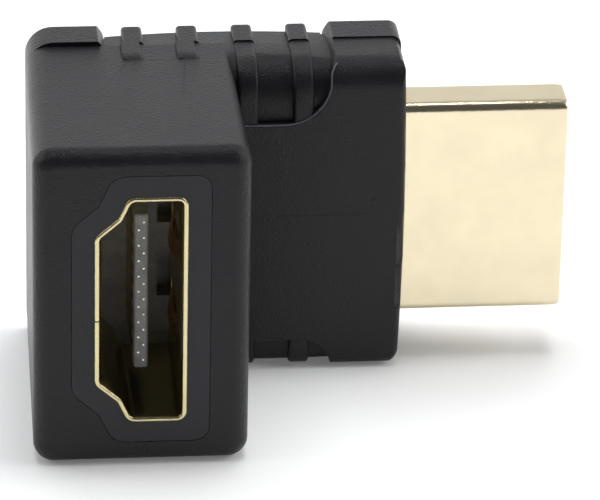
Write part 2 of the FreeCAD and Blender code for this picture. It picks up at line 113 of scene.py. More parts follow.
# Outline of the opening: across its thickness, then along its width, each from the middle
WIDE_WALL = 2.275 * MM
OUTLINE = np.array(
    [
        (2.275, 7.0),
        (-0.575, 7.0),
        (-1.125, 5.8),
        (-2.275, 4.65),
        (-2.275, -4.65),
        (-1.125, -5.8),
        (-0.575, -7.0),
        (2.275, -7.0),
    ]
) * MM


def colour_property(name, description, default):
    return FloatVectorProperty(
        name=name,
        description=description,
        subtype="COLOR",
        default=default,
        min=0,
        max=1,
    )


def angle_property(name, description, degrees):
    return FloatProperty(
        name=name,
        description=description,
        subtype="ANGLE",
        default=math.radians(degrees),
    )


def length_property(name, description, millimetres):
    return FloatProperty(
        name=name,
        description=description,
        subtype="DISTANCE",
        default=millimetres * MM,
        min=0,
    )


class AdapterColours(bpy.types.PropertyGroup):
    """Colours of the adapter's finishes."""

    moulding: colour_property("Moulding", "Black plastic of the arm and the head", (0.0125, 0.0127, 0.0146))
    insert: colour_property("Insert", "Plastic of the mould round the socket", (0.022, 0.0222, 0.025))
    rim: colour_property("Rim", "Yellower gold plating of the socket's shell", (0.68, 0.6, 0.34))
    gold: colour_property("Gold", "Pale gold plating of the plug's shell", (0.85, 0.75, 0.535))
    contact: colour_property("Contact", "Gold plating of the contacts", (0.9, 0.7, 0.38))
    nib: colour_property("Nib", "Dull cut ends of the contacts in the tongue's tip", (0.85, 0.79, 0.66))
    leaf: colour_property("Leaf", "Plating of the leaf springs, browner than the shells", (0.8, 0.52, 0.3))
    tongue: colour_property("Tongue", "Glass-filled plastic of the socket's tongue", (0.21, 0.21, 0.215))
    insulator: colour_property("Insulator", "Glass-filled plastic inside the socket", (0.3, 0.3, 0.31))
    plug_block: colour_property("Plug block", "Black plastic inside the plug", (0.022, 0.022, 0.024))
    laminate: colour_property("Laminate", "Lacquered laminate of the circuit board", (0.03, 0.13, 0.06))


class SheetSizes(bpy.types.PropertyGroup):
    """Sizes of the folded sheet shells, the leaf springs and the contacts."""

    sheet: length_property("Sheet", "Thickness of the shells' sheet", 0.3)
    bend: length_property("Bend", "Inner radius of the bends at the steps", 0.4)
    socket_corner: length_property("Socket corner", "Inner radius of its two wide corners", 0.32)
    plug_corner: length_property("Plug corner", "Radius of the plug's two wide corners", 0.65)
    plug_clearance: length_property("Plug clearance", "Gap between plug and opening, a side", 0.05)
    flare: length_property("Flare", "How far the long walls open at the mouth", 0.14)
    flare_length: length_property("Flare length", "Depth over which the mouth opens", 0.7)
    seam: length_property("Seam", "Gap where the sheet's ends meet", 0.08)
    leaf_width: length_property("Leaf width", "Width of a leaf spring", 1.5)
    leaf_spacing: length_property("Leaf spacing", "Between the leaf springs' middles", 4.9)
    leaf_root: length_property("Leaf root", "Depth at which a leaf leaves the wall", 7.4)
    leaf_tip: length_property("Leaf tip", "Depth of a leaf's free end", 2.4)
    leaf_bulge: length_property("Leaf bulge", "How far a leaf stands into the opening", 0.34)
    window_margin: length_property("Window margin", "Gap round a leaf in its window", 0.25)
    tongue_tip: length_property("Tongue tip", "Depth of the tongue's tip", 2.45)
    tongue_thickness: length_property("Tongue thickness", "Thickness of the socket's tongue", 0.84)
    tongue_width: length_property("Tongue width", "Width of the socket's tongue", 10.1)
    tongue_offset: length_property("Tongue offset", "How far the tongue lies off the middle", 0.14)
    contact_width: length_property("Contact width", "Width of a contact's blade", 0.45)
    nib: length_property("Nib", "Width of a contact's end in the tongue's tip", 0.1)


class StudioSettings(bpy.types.PropertyGroup):
    """Camera and floor."""

    azimuth: angle_property("Azimuth", "Camera's turn about the vertical", -5.881)
    elevation: angle_property("Elevation", "Camera's height above the horizon", 26.578)
    roll: angle_property("Roll", "Camera's turn about its own line of sight", 1.251)
    distance: length_property("Distance", "From the camera to the point it looks at", 284.529)
    aim: FloatVectorProperty(
        name="Aim",
        description="Point the camera looks at, from the middle of the socket's mouth",
        subtype="XYZ",
        unit="LENGTH",
        default=(0.009151, 0.0, 0.003697),
    )
    lens: FloatProperty(
        name="Lens",
        description="Focal length on a 36 mm wide sensor",
        default=295.84,
    )
    floor: colour_property("Floor", "Colour of the floor and the backdrop", (0.945, 0.95, 0.96))


def object_from_mesh(name, mesh, material, slot, *nodes):
    """Shows a finished mesh as a piece that rides on the body and stands for CAD nodes."""
    piece = bpy.data.objects.new(name, mesh)
    bpy.context.scene.collection.objects.link(piece)
    mesh.materials.clear()
    mesh.materials.append(material)
    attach(piece, BODY)
    if nodes:
        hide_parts(*nodes)
    return piece


def grid_faces(rows, columns, wrap_rows=False, wrap_columns=False):
    """Quads between the neighbours of a grid whose points are numbered row by row."""
    r = np.arange(rows if wrap_rows else rows - 1)[:, None]
    c = np.arange(columns if wrap_columns else columns - 1)[None, :]
    r_next = (r + 1) % rows
    c_next = (c + 1) % columns
    corners = (r * columns + c, r * columns + c_next, r_next * columns + c_next, r_next * columns + c)
    return np.stack(np.broadcast_arrays(*corners), axis=-1).reshape(-1, 4)


def capped_faces(rows, columns):
    """Faces of closed loops in a row, with a cap on the first and on the last loop."""
    first_cap = list(range(columns))
    last_cap = list(range((rows - 1) * columns, rows * columns))
    return grid_faces(rows, columns, wrap_columns=True).tolist() + [first_cap, last_cap]


def closed_mesh(name, points, faces, crease=CREASE):
    """Mesh of a closed surface, with its doubles merged and its faces turned outwards."""
    mesh = bpy.data.meshes.new(name)
    mesh.from_pydata(points.reshape(-1, 3).tolist(), [], faces)
    bm = bmesh.new()
    bm.from_mesh(mesh)
    bmesh.ops.remove_doubles(bm, verts=bm.verts, dist=MERGE)
    bmesh.ops.dissolve_degenerate(bm, edges=bm.edges, dist=SLIVER)
    bmesh.ops.recalc_face_normals(bm, faces=bm.faces)
    bm.to_mesh(mesh)
    bm.free()
    smooth_with_creases(mesh, crease)
    return mesh


def unit(vectors):
    """Vectors divided by their lengths."""
    return vectors / np.linalg.norm(vectors, axis=-1, keepdims=True)


def outline_loops(growth, corner, bend, sheet, spread, stations, seam_at, seam_gap, steps):
    """Loops round the outline of plug and socket, from one side of the seam to the other.

    Each side of the outline moves outwards by the growth, and the two long walls also by the spread.
    Each corner becomes an arc that touches both its sides: the arc's points are the corner's middle
    plus its radius times the spherical blend of the directions to its two ends. The stations are points
    along the wide wall. There is one loop for each growth, and all have as many points.
    """
    before = unit(np.roll(OUTLINE, 1, axis=0) - OUTLINE)
    after = unit(np.roll(OUTLINE, -1, axis=0) - OUTLINE)
    out_before = np.stack([-before[:, 1], before[:, 0]], axis=-1)
    out_after = np.stack([after[:, 1], -after[:, 0]], axis=-1)
    between = np.sum(out_before * out_after, axis=-1, keepdims=True)
    shift = (out_before + out_after) / (1 + between)
    half = np.arccos(np.sum(before * after, axis=-1)) / 2
    g = growth[:, None]
    wide, fold, hollow = corner + g, bend + g, bend + sheet - g
    radii = np.concatenate([wide, fold, hollow, fold, fold, hollow, fold, wide], axis=1)[..., None]
    corners = OUTLINE + g[..., None] * shift
    on_long_wall = np.isclose(np.abs(OUTLINE[:, 0]), WIDE_WALL, rtol=0, atol=MERGE)
    corners[..., 0] += spread[:, None] * np.where(on_long_wall, np.sign(OUTLINE[:, 0]), 0.0)
    inward = unit(before + after)
    middle = corners + inward * radii / np.sin(half)[:, None]
    start = unit(corners + before * radii / np.tan(half)[:, None] - middle)
    end = unit(corners + after * radii / np.tan(half)[:, None] - middle)
    sweep = np.arccos(np.clip(np.sum(start * end, axis=-1), -1, 1))[..., None, None]
    t = np.linspace(0, 1, steps)[:, None]
    blend = np.sin((1 - t) * sweep) * start[:, :, None] + np.sin(t * sweep) * end[:, :, None]
    arcs = middle[:, :, None] + radii[:, :, None] * blend / np.sin(sweep)
    half_way = len(OUTLINE) // 2
    arcs = np.roll(arcs, -half_way, axis=1).reshape(len(growth), -1, 2)
    reach = (WIDE_WALL + growth + spread)[:, None]
    on_wall = np.stack(np.broadcast_arrays(reach, np.asarray(stations)[None, :]), axis=-1)
    seam_ends = np.array([[-0.5, 0.5]]) * seam_gap + seam_at
    seam = np.stack(np.broadcast_arrays(-reach, seam_ends), axis=-1)
    half_way *= steps
    parts = [seam[:, :1], arcs[:, :half_way], on_wall, arcs[:, half_way:], seam[:, 1:]]
    return np.concatenate(parts, axis=1)


def lip_section(sheet, proud, depths, end):
    """Closed section of a sheet wall as depth and growth: inner side, half-round lip, outer side.

    Round the lip, the depth is half the sheet times 1 - sin(turn), less how far the lip stands proud,
    and the growth is half the sheet times 1 - cos(turn).
    """
    turn = np.linspace(0, math.pi, 9)
    lip_depth = sheet / 2 * (1 - np.sin(turn)) - proud
    lip_growth = sheet / 2 * (1 - np.cos(turn))
    depths = np.array([*depths, end])
    depth = np.concatenate([depths[::-1], lip_depth, depths])
    growth = np.concatenate([np.zeros(len(depths)), lip_growth, np.full(len(depths), sheet)])
    return depth, growth


def tube_faces(rows, columns, windows=()):
    """Faces of a sheet tube: its walls all round the section, both its seam ends, and any windows.

    A window spans given columns, and given rows of the inner wall with their partners in the outer one.
    The walls' faces in it are left out, and four jambs join the inner wall to the outer one.
    """
    quads = grid_faces(rows, columns, wrap_rows=True)
    row = quads[:, 0] // columns
    column = quads[:, 0] % columns
    keep = np.ones(len(quads), bool)
    jambs = []
    for low_row, high_row, low_column, high_column in windows:
        far_low, far_high = rows - 1 - high_row, rows - 1 - low_row
        inside = (column >= low_column) & (column < high_column)
        keep &= ~(inside & (row >= low_row) & (row < high_row))
        keep &= ~(inside & (row >= far_low) & (row < far_high))
        c = np.arange(low_column, high_column)
        for near, far in ((low_row, far_high), (high_row, far_low)):
            near, far = near * columns + c, far * columns + c
            jambs.append(np.stack([near, near + 1, far + 1, far], axis=1))
        r = np.arange(low_row, high_row)
        for c in (low_column, high_column):
            near, far = r * columns + c, (rows - 1 - r) * columns + c
            jambs.append(np.stack([near, near + columns, far - columns, far], axis=1))
    faces = np.concatenate([quads[keep], *jambs]).tolist()
    ends = np.arange(rows) * columns
    return faces + [ends.tolist(), (ends + columns - 1).tolist()]


def socket_tube(sizes):
    """The socket's shell: its wall section carried round the outline, with two windows.

    The flare moves the long walls out by its size at the mouth, and evenly less down to its length.
    """
    reach = sizes.leaf_width / 2 + sizes.window_margin
    front = sizes.leaf_tip - sizes.window_margin
    depths = [sizes.flare_length / 2, sizes.flare_length, front, sizes.leaf_root]
    end = SOCKET_HIGH.y - MOUTH[1]
    depth, growth = lip_section(sizes.sheet, MOUTH[1] - SOCKET_LOW.y, depths, end)
    spread = sizes.flare * np.clip((sizes.flare_length - depth) / sizes.flare_length, 0, 1)
    middles = np.array([-0.5, 0.5]) * sizes.leaf_spacing
    stations = (middles[:, None] + np.array([-reach, reach])).ravel()
    loops = outline_loops(
        growth,
        sizes.socket_corner,
        sizes.bend,
        sizes.sheet,
        spread,
        stations,
        SOCKET_SEAM,
        sizes.seam,
        SOCKET_ARC_STEPS,
    )
    x = MOUTH[0] + loops[..., 0]
    y = np.broadcast_to(MOUTH[1] + depth[:, None], x.shape)
    z = MOUTH[2] + loops[..., 1]
    # Rows 1 and 2 are at the leaves' root and just past their tip. The stations come after one end
    # of the seam and the arcs of half the corners.
    first = 1 + len(OUTLINE) // 2 * SOCKET_ARC_STEPS
    windows = [(1, 2, first, first + 1), (1, 2, first + 2, first + 3)]
    return closed_mesh("socket_tube", np.stack([x, y, z], axis=-1), tube_faces(*x.shape, windows))


def plug_tube(sizes):
    """The plug's shell: its wall section carried round the outline.

    The outline draws in by the taper at the tip, and evenly less down to the taper's length.
    """
    taper, taper_length, middle = 0.06 * MM, 0.5 * MM, 4 * MM
    end = PLUG_HIGH.x - PLUG_LOW.x
    depth, growth = lip_section(sizes.sheet, 0, [taper_length, middle], end)
    drawn_in = taper * np.clip(1 - depth / taper_length, 0, 1)
    growth = growth - sizes.sheet - sizes.plug_clearance - drawn_in
    loops = outline_loops(
        growth,
        sizes.plug_corner,
        sizes.bend,
        sizes.sheet,
        0 * growth,
        [],
        PLUG_SEAM,
        sizes.seam,
        PLUG_ARC_STEPS,
    )
    y = PLUG_TIP[1] - loops[..., 0]
    x = np.broadcast_to(PLUG_TIP[0] - depth[:, None], y.shape)
    z = PLUG_TIP[2] + loops[..., 1]
    return closed_mesh("plug_tube", np.stack([x, y, z], axis=-1), tube_faces(*y.shape))


def leaf_springs(sizes):
    """Two leaf springs: a strip with a crowned face whose line swings into the opening and back.

    Along the leaf, t runs from its root to its tip. It stands into the opening by the bulge times
    sin(pi t ** 1.5) ** 1.2, and it narrows with t cubed. Its face is crowned by a share of the sheet
    times 1 - s squared times sin(pi t), s being -1 to 1 across it.
    """
    narrowing_at_tip, crown_share, thickness_share, sunk = 0.12, 0.35, 0.6, 0.02 * MM
    t = np.linspace(0, 1, 25)[:, None]
    s = np.linspace(-1, 1, 9)[None, :]
    stand = sizes.leaf_bulge * np.sin(math.pi * t**1.5) ** 1.2
    depth = sizes.leaf_root + (sizes.leaf_tip - sizes.leaf_root) * t
    narrowing = 1 - narrowing_at_tip * t**3
    crown = crown_share * sizes.sheet * (1 - s**2) * np.sin(math.pi * t)
    face = WIDE_WALL + sunk - stand - crown
    back = face + thickness_share * sizes.sheet
    u = np.concatenate([face, back[:, ::-1]], axis=1)
    v = np.concatenate([s, s[:, ::-1]], axis=1) * narrowing * sizes.leaf_width / 2
    y = np.broadcast_to(depth, u.shape)
    leaf = np.stack([MOUTH[0] + u, MOUTH[1] + y, MOUTH[2] + v], axis=-1)
    offsets = np.array([-0.5, 0.5])[:, None, None, None] * np.array([0, 0, sizes.leaf_spacing])
    points = leaf[None] + offsets
    faces = capped_faces(*u.shape)
    second = [[i + u.size for i in face] for face in faces]
    return closed_mesh("leaf_springs", points, faces + second)


def rounded_slab(name, low, high, radius, steps=6):
    """Box with rounded edges: each eighth of a sphere is moved out to its corner of the box.

    A point is the box's middle, plus the corner's signs times half the size less the radius, plus the
    radius times the direction of longitude phi and latitude theta.
    """
    quarter = np.linspace(0, math.pi / 2, steps)
    phi = (np.arange(4)[:, None] * math.pi / 2 + quarter).ravel()[None, :]
    theta = np.concatenate([quarter - math.pi / 2, quarter])[:, None]
    direction = [np.cos(theta) * np.cos(phi), np.cos(theta) * np.sin(phi), np.sin(theta)]
    signs = [
        np.repeat([1, -1, -1, 1], steps)[None, :],
        np.repeat([1, 1, -1, -1], steps)[None, :],
        np.repeat([-1, 1], steps)[:, None],
    ]
    direction = np.stack(np.broadcast_arrays(*direction), axis=-1)
    signs = np.stack(np.broadcast_arrays(*signs), axis=-1)
    low, high = np.array(low), np.array(high)
    points = (low + high) / 2 + signs * ((high - low) / 2 - radius) + radius * direction
    return closed_mesh(name, points, capped_faces(*points.shape[:2]))


def tongue_cover(sizes):
    """The socket's tongue as a slab with rounded edges, whose root is inside the block."""
    root, past_tip, edge = 9.6 * MM, 0.01 * MM, 0.16 * MM
    half = np.array([sizes.tongue_thickness / 2, 0, sizes.tongue_width / 2])
    middle = MOUTH + np.array([sizes.tongue_offset, 0, 0])
    low = middle - half + np.array([0, sizes.tongue_tip - past_tip, 0])
    high = middle + half + np.array([0, root, 0])
    return rounded_slab("tongue_cover", low, high, edge)


def repeated_strips(name, lines, half_thick, half_wide, heights):
    """Flat strips: a rectangle carried along each strip's line, which lies in a level plane.

    A point is the line's point, plus or minus half the thickness along the line's normal, plus or
    minus half the width upwards.
    """
    along = unit(np.gradient(lines, axis=1))
    normal = np.stack([-along[..., 1], along[..., 0]], axis=-1)
    side = np.array([-1, 1, 1, -1])[None, None, :]
    rise = np.array([-1, -1, 1, 1])[None, None, :]
    flat = lines[:, :, None] + normal[:, :, None] * (side * half_thick[None, :, None])[..., None]
    z = np.broadcast_to(heights[:, None, None] + rise * half_wide[None, :, None], flat.shape[:3])
    points = np.concatenate([flat, z[..., None]], axis=-1)
    count, rows = points.shape[:2]
    faces = np.array(capped_faces(rows, 4))[None] + np.arange(count)[:, None, None] * 4 * rows
    return closed_mesh(name, points, faces.reshape(-1, 4).tolist())


def socket_contact_lines(sizes, nodes):
    """Lines and heights of the socket's contacts.

    Each line runs down the tongue's face, round a quarter circle and out over the board, as far as
    the node's box. At its front end a blade is a third as thick as elsewhere.
    """
    thick, proud, radius, setback, taper = 0.16 * MM, 0.03 * MM, 0.23 * MM, 1.2 * MM, 0.1 * MM
    boxes = [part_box(node) for node in nodes]
    low = np.array([box[0] for box in boxes])
    high = np.array([box[1] for box in boxes])
    tongue = MOUTH[0] + sizes.tongue_offset
    side = np.sign((low[:, 0] + high[:, 0]) / 2 - tongue)
    blade = tongue + side * (sizes.tongue_thickness / 2 + proud - thick / 2)
    heel = high[:, 1] - thick / 2
    toe = np.where(side > 0, high[:, 0], low[:, 0])
    angle = np.linspace(0, math.pi / 2, 7)[None, :]
    arc_x = blade[:, None] + side[:, None] * radius * (1 - np.cos(angle))
    arc_y = heel[:, None] - radius * (1 - np.sin(angle))
    begin = np.full((len(nodes), 1), MOUTH[1] + sizes.tongue_tip + setback)
    x = np.concatenate([blade[:, None], blade[:, None], arc_x, toe[:, None]], axis=1)
    y = np.concatenate([begin, begin + taper, arc_y, heel[:, None]], axis=1)
    half_thick = np.full(x.shape[1], thick / 2)
    half_thick[0] /= 3
    half_wide = np.full(x.shape[1], sizes.contact_width / 2)
    return np.stack([x, y], axis=-1), half_thick, half_wide, (low[:, 2] + high[:, 2]) / 2, side


def socket_nibs(sizes, side, heights):
    """Thin square nibs along Y whose ends show as dots in the tongue's tip."""
    off_middle, proud, length = 0.15 * MM, 0.018 * MM, 1.4 * MM
    x = MOUTH[0] + sizes.tongue_offset + side * off_middle
    tip = MOUTH[1] + sizes.tongue_tip
    ends = np.array([tip - proud, tip + length / 2, tip + length])
    lines = np.stack(np.broadcast_arrays(x[:, None], ends[None, :]), axis=-1)
    half = np.full(3, sizes.nib / 2)
    return repeated_strips("socket_nibs", lines, half, half, heights)


def grip_floor(name, left, right, front, back, heights, thickness):
    """Raised floor between the ribs of a finger grip: a crowned strip, rounded off at its back edge.

    Its height is a parabola through three given heights along X, less a quarter circle's drop near
    the back.
    """
    x = np.linspace(left, right, 41)
    bend = 0.16 * MM
    turn = np.linspace(0, math.pi / 2, 6)
    y = np.concatenate([[front], back - bend + bend * np.sin(turn)])
    drop = np.concatenate([[0], bend * (1 - np.cos(turn))])
    crown = np.polyval(np.polyfit(*np.transpose(heights), 2), x)
    top = np.stack(np.broadcast_arrays(x[:, None], y[None, :], crown[:, None] - drop[None, :]), axis=-1)
    under = top[:, ::-1].copy()
    under[..., 2] = crown[:, None] - thickness
    loops = MOUTH + np.concatenate([top, under], axis=1)
    return closed_mesh(name, loops, capped_faces(*loops.shape[:2]))


def rib_nose(name, middle, width, back, front, base, height):
    """Front end of a rib where it runs out on the arm's top.

    Across it, the half width times cos(a) ** 0.22 and the height times sin(a) ** 0.5 make a
    superellipse. Along it, the height is full for a first share and then falls as a quarter ellipse.
    """
    full_share, narrowing, buried = 0.62, 0.08, 0.3 * MM
    t = np.linspace(0, 1, 22)[:, None]
    fall = np.clip((t - full_share) / (1 - full_share), 0, 1)
    rise = height * np.sqrt(np.clip(1 - fall**2, 0, 1))
    a = np.linspace(math.pi, 0, 21)[None, :]
    half = width / 2 * (1 - narrowing * fall**2)
    x = half * np.sign(np.cos(a)) * np.abs(np.cos(a)) ** 0.22
    z = base + rise * np.abs(np.sin(a)) ** 0.5
    y = back + (front - back) * t
    shoulders = np.concatenate([-half, half], axis=1)
    top = np.stack(np.broadcast_arrays(middle + x, y, z), axis=-1)
    foot = np.stack(np.broadcast_arrays(middle + shoulders, y, base - buried), axis=-1)
    loops = MOUTH + np.concatenate([foot[:, :1], top, foot[:, 1:]], axis=1)
    return closed_mesh(name, loops, capped_faces(*loops.shape[:2]), math.radians(50))


def bead_along(name, path, radius, sides=8):
    """Thin round bead: a circle carried along a path, square to it, and closed at both ends.

    A circle's point is the path's point plus the radius times the cosine of the turn along one normal
    and the sine along the other.
    """
    along = unit(np.gradient(path, axis=0))
    first = unit(np.cross(along, [0.0, 1.0, 0.0]))
    second = np.cross(along, first)
    turn = np.linspace(0, 2 * math.pi, sides, endpoint=False)[None, :, None]
    loops = path[:, None] + radius * (np.cos(turn) * first[:, None] + np.sin(turn) * second[:, None])
    return closed_mesh(name, loops, capped_faces(len(path), sides), math.radians(60))


def pocket_rim(bead):
    """Flash round the front of the top grip, a bead that is shown pale as a painted highlight: down its
    right side, round its corner and to the arm.

    The corner is a quarter circle. Where the line climbs the head's shoulder, its depth follows the
    shoulder's circle: the front plus the radius less the root of the radius squared less the rise squared.
    """
    side, bottom, corner = 12.02, 6.29, 2.8
    turn = np.linspace(0, -math.pi / 2, 24)
    arc_x = side - corner + corner * np.cos(turn)
    arc_z = bottom + corner + corner * np.sin(turn)
    x = np.concatenate([[12.36, 12.22, 12.09, 12.03], arc_x, [6.5]])
    z = np.concatenate([[9.93, 9.78, 9.58, 9.4], arc_z, [bottom]])
    rise = np.clip(z - SHOULDER_START, 0, 0.99 * SHOULDER_RADIUS)
    y = HEAD_FRONT + SHOULDER_RADIUS - np.sqrt(SHOULDER_RADIUS**2 - rise**2)
    return bead_along("grip_rim", MOUTH + np.stack([x, y, z], axis=-1) * MM, bead)


def front_mould_line(bead):
    """Faint straight line across the head's front, where two parts of the mould met."""
    height, sunk = 0.27, 0.005
    x = np.linspace(7.2, 14.6, 12)
    y = np.full_like(x, HEAD_FRONT + sunk)
    path = MOUTH + np.stack([x, y, np.full_like(x, height)], axis=-1) * MM
    return bead_along("front_mould_line", path, bead)


def smooth_with_creases(mesh, crease_angle):
    """Smooth shading that breaks at edges sharper than the crease angle."""
    bm = bmesh.new()
    bm.from_mesh(mesh)
    for edge in bm.edges:
        edge.smooth = len(edge.link_faces) == 2 and edge.calc_face_angle(math.pi) < crease_angle
    for face in bm.faces:
        face.smooth = True
    bm.to_mesh(mesh)
    bm.free()


def refined_node(node, name, material, slot):
    """A CAD node's surface, merged and smoothly shaded, with shading led by its large flats."""
    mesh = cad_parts[node].data.copy()
    mesh.name = name
    bm = bmesh.new()
    bm.from_mesh(mesh)
    bmesh.ops.remove_doubles(bm, verts=bm.verts, dist=WELD)
    bmesh.ops.dissolve_degenerate(bm, edges=bm.edges, dist=WELD / 4)
    bm.to_mesh(mesh)
    bm.free()
    smooth_with_creases(mesh, CREASE)
    piece = object_from_mesh(name, mesh, material, slot, node)
    lead = piece.modifiers.new("Large flats lead", "WEIGHTED_NORMAL")
    lead.mode = "FACE_AREA_WITH_ANGLE"
    lead.keep_sharp = True
    return piece


class Shader:
    """A material's node tree round one Principled shader, with helpers that add and join nodes."""

    def __init__(self, name, colour, metallic, roughness):
        self.material = bpy.data.materials.new(name)
        self.material.use_nodes = True
        self.tree = self.material.node_tree
        self.surface = self.tree.nodes["Principled BSDF"]
        self.surface.inputs["Base Color"].default_value = (*colour, 1)
        self.surface.inputs["Metallic"].default_value = metallic
        self.surface.inputs["Roughness"].default_value = roughness
        self.place = self.tree.nodes.new("ShaderNodeTexCoord").outputs["Object"]

    def link(self, source, target):
        self.tree.links.new(source, target)

    def noise(self, size, detail=3.0, roughness=0.55, stretch=(1, 1, 1), where=(0, 0, 0)):
        """Noise whose lumps have a given size in metres, drawn out along chosen axes."""
        mapping = self.tree.nodes.new("ShaderNodeMapping")
        mapping.inputs["Scale"].default_value = [1 / (size * s) for s in stretch]
        mapping.inputs["Location"].default_value = where
        self.link(self.place, mapping.inputs["Vector"])
        node = self.tree.nodes.new("ShaderNodeTexNoise")
        node.inputs["Scale"].default_value = 1
        node.inputs["Detail"].default_value = detail
        node.inputs["Roughness"].default_value = roughness
        self.link(mapping.outputs["Vector"], node.inputs["Vector"])
        return node.outputs["Fac"]

    def cells(self, size):
        """Distance to the middle of the nearest cell, for cells of a given size."""
        mapping = self.tree.nodes.new("ShaderNodeMapping")
        mapping.inputs["Scale"].default_value = [1 / size] * 3
        self.link(self.place, mapping.inputs["Vector"])
        node = self.tree.nodes.new("ShaderNodeTexVoronoi")
        node.inputs["Scale"].default_value = 1
        self.link(mapping.outputs["Vector"], node.inputs["Vector"])
        return node.outputs["Distance"]

    def along(self, axis):
        """The place along X, Y or Z in metres."""
        parts = self.tree.nodes.new("ShaderNodeSeparateXYZ")
        self.link(self.place, parts.inputs["Vector"])
        return parts.outputs[axis]

    def ranged(self, source, low, high, to_low, to_high):
        """The source's stretch from low to high, moved to another range and held there."""
        node = self.tree.nodes.new("ShaderNodeMapRange")
        node.inputs["From Min"].default_value = low
        node.inputs["From Max"].default_value = high
        node.inputs["To Min"].default_value = to_low
        node.inputs["To Max"].default_value = to_high
        self.link(source, node.inputs["Value"])
        return node.outputs["Result"]

    def math(self, operation, a, b):
        """Arithmetic on two values, each a number or a node's output."""
        node = self.tree.nodes.new("ShaderNodeMath")
        node.operation = operation
        for socket, value in zip(node.inputs, (a, b)):
            if isinstance(value, (int, float)):
                socket.default_value = value
            else:
                self.link(value, socket)
        return node.outputs[0]

    def blend(self, factor, a, b):
        """Colour between two colours, or between a node's colour and a colour."""
        node = self.tree.nodes.new("ShaderNodeMix")
        node.data_type = "RGBA"
        self.link(factor, node.inputs["Factor"])
        colour_sockets = [socket for socket in node.inputs if socket.type == "RGBA"]
        for socket, value in zip(colour_sockets, (a, b)):
            if isinstance(value, bpy.types.NodeSocket):
                self.link(value, socket)
            else:
                socket.default_value = (*value[:3], 1)
        return next(socket for socket in node.outputs if socket.type == "RGBA")

    def edges(self, radius):
        """0 on flats and up to 1 on edges: how far the normal turns when edges are rounded."""
        bevel = self.tree.nodes.new("ShaderNodeBevel")
        bevel.samples = 4
        bevel.inputs["Radius"].default_value = radius
        true_normal = self.tree.nodes.new("ShaderNodeNewGeometry").outputs["Normal"]
        dot = self.tree.nodes.new("ShaderNodeVectorMath")
        dot.operation = "DOT_PRODUCT"
        self.link(bevel.outputs["Normal"], dot.inputs[0])
        self.link(true_normal, dot.inputs[1])
        return self.ranged(dot.outputs["Value"], 1.0, 0.8, 0.0, 1.0)

    def bump(self, height, depth, under=None):
        """Bump of a given depth in metres, on top of another bump."""
        node = self.tree.nodes.new("ShaderNodeBump")
        node.inputs["Distance"].default_value = depth
        self.link(height, node.inputs["Height"])
        if under is not None:
            self.link(under, node.inputs["Normal"])
        return node.outputs["Normal"]


def scaled(colour, factor):
    """A colour made lighter or darker, with no channel past full."""
    return tuple(min(1.0, c * factor) for c in colour)


def moulded_plastic(name, colour, grain_depth):
    """Black plastic from a spark-eroded mould: fine grain, faint flow patches, rubbed edges."""
    swell_depth, pit_share = 5e-6, 0.35
    shader = Shader(name, colour, 0.0, 0.4)
    grain = shader.noise(0.17 * MM, detail=3, roughness=0.62)
    pits = shader.cells(0.11 * MM)
    patches = shader.noise(2.6 * MM, detail=2)
    streaks = shader.noise(0.5 * MM, detail=2, stretch=(0.2, 0.2, 1), where=(3, 1, 7))
    rubbed = shader.edges(0.12 * MM)
    patched = shader.ranged(patches, 0.3, 0.7, 0, 1)
    tint = shader.blend(patched, scaled(colour, 0.9), scaled(colour, 1.14))
    tint = shader.blend(shader.math("MULTIPLY", rubbed, 0.5), tint, scaled(colour, 2.2))
    shader.link(tint, shader.surface.inputs["Base Color"])
    uneven = shader.math("ADD", patches, shader.math("MULTIPLY", streaks, 0.25))
    rough = shader.ranged(uneven, 0.3, 1.0, 0.26, 0.37)
    rough = shader.math("SUBTRACT", rough, shader.math("MULTIPLY", rubbed, 0.06))
    shader.link(rough, shader.surface.inputs["Roughness"])
    swell = shader.bump(shader.noise(1.4 * MM, detail=1), swell_depth)
    pitted = shader.bump(pits, grain_depth * pit_share, swell)
    shader.link(shader.bump(grain, grain_depth, pitted), shader.surface.inputs["Normal"])
    shader.surface.inputs["IOR"].default_value = 1.34
    return shader.material


def gold_plate(name, colour, roughness, along):
    """Thin gold over rolled sheet: rolling lines along one axis, finger haze and bright edges."""
    line_depth, peel_depth, line_stretch = 0.5e-6, 15e-6, 14
    shader = Shader(name, colour, 1.0, roughness)
    stretch = [line_stretch if axis == along else 1 for axis in range(3)]
    rolling = shader.noise(0.035 * MM, detail=2, stretch=stretch)
    haze = shader.noise(2.2 * MM, detail=5, roughness=0.6, where=(5, 2, 1))
    orange_peel = shader.noise(0.13 * MM, detail=2.5, roughness=0.6)
    rubbed = shader.edges(0.1 * MM)
    tint = shader.blend(shader.ranged(haze, 0.35, 0.75, 0, 1), colour, scaled(colour, 0.93))
    tint = shader.blend(shader.math("MULTIPLY", rubbed, 0.4), tint, scaled(colour, 1.08))
    shader.link(tint, shader.surface.inputs["Base Color"])
    rough = shader.ranged(haze, 0.3, 0.8, roughness * 0.8, roughness * 1.35)
    shader.link(rough, shader.surface.inputs["Roughness"])
    rolled = shader.bump(rolling, line_depth)
    shader.link(shader.bump(orange_peel, peel_depth, rolled), shader.surface.inputs["Normal"])
    return shader.material


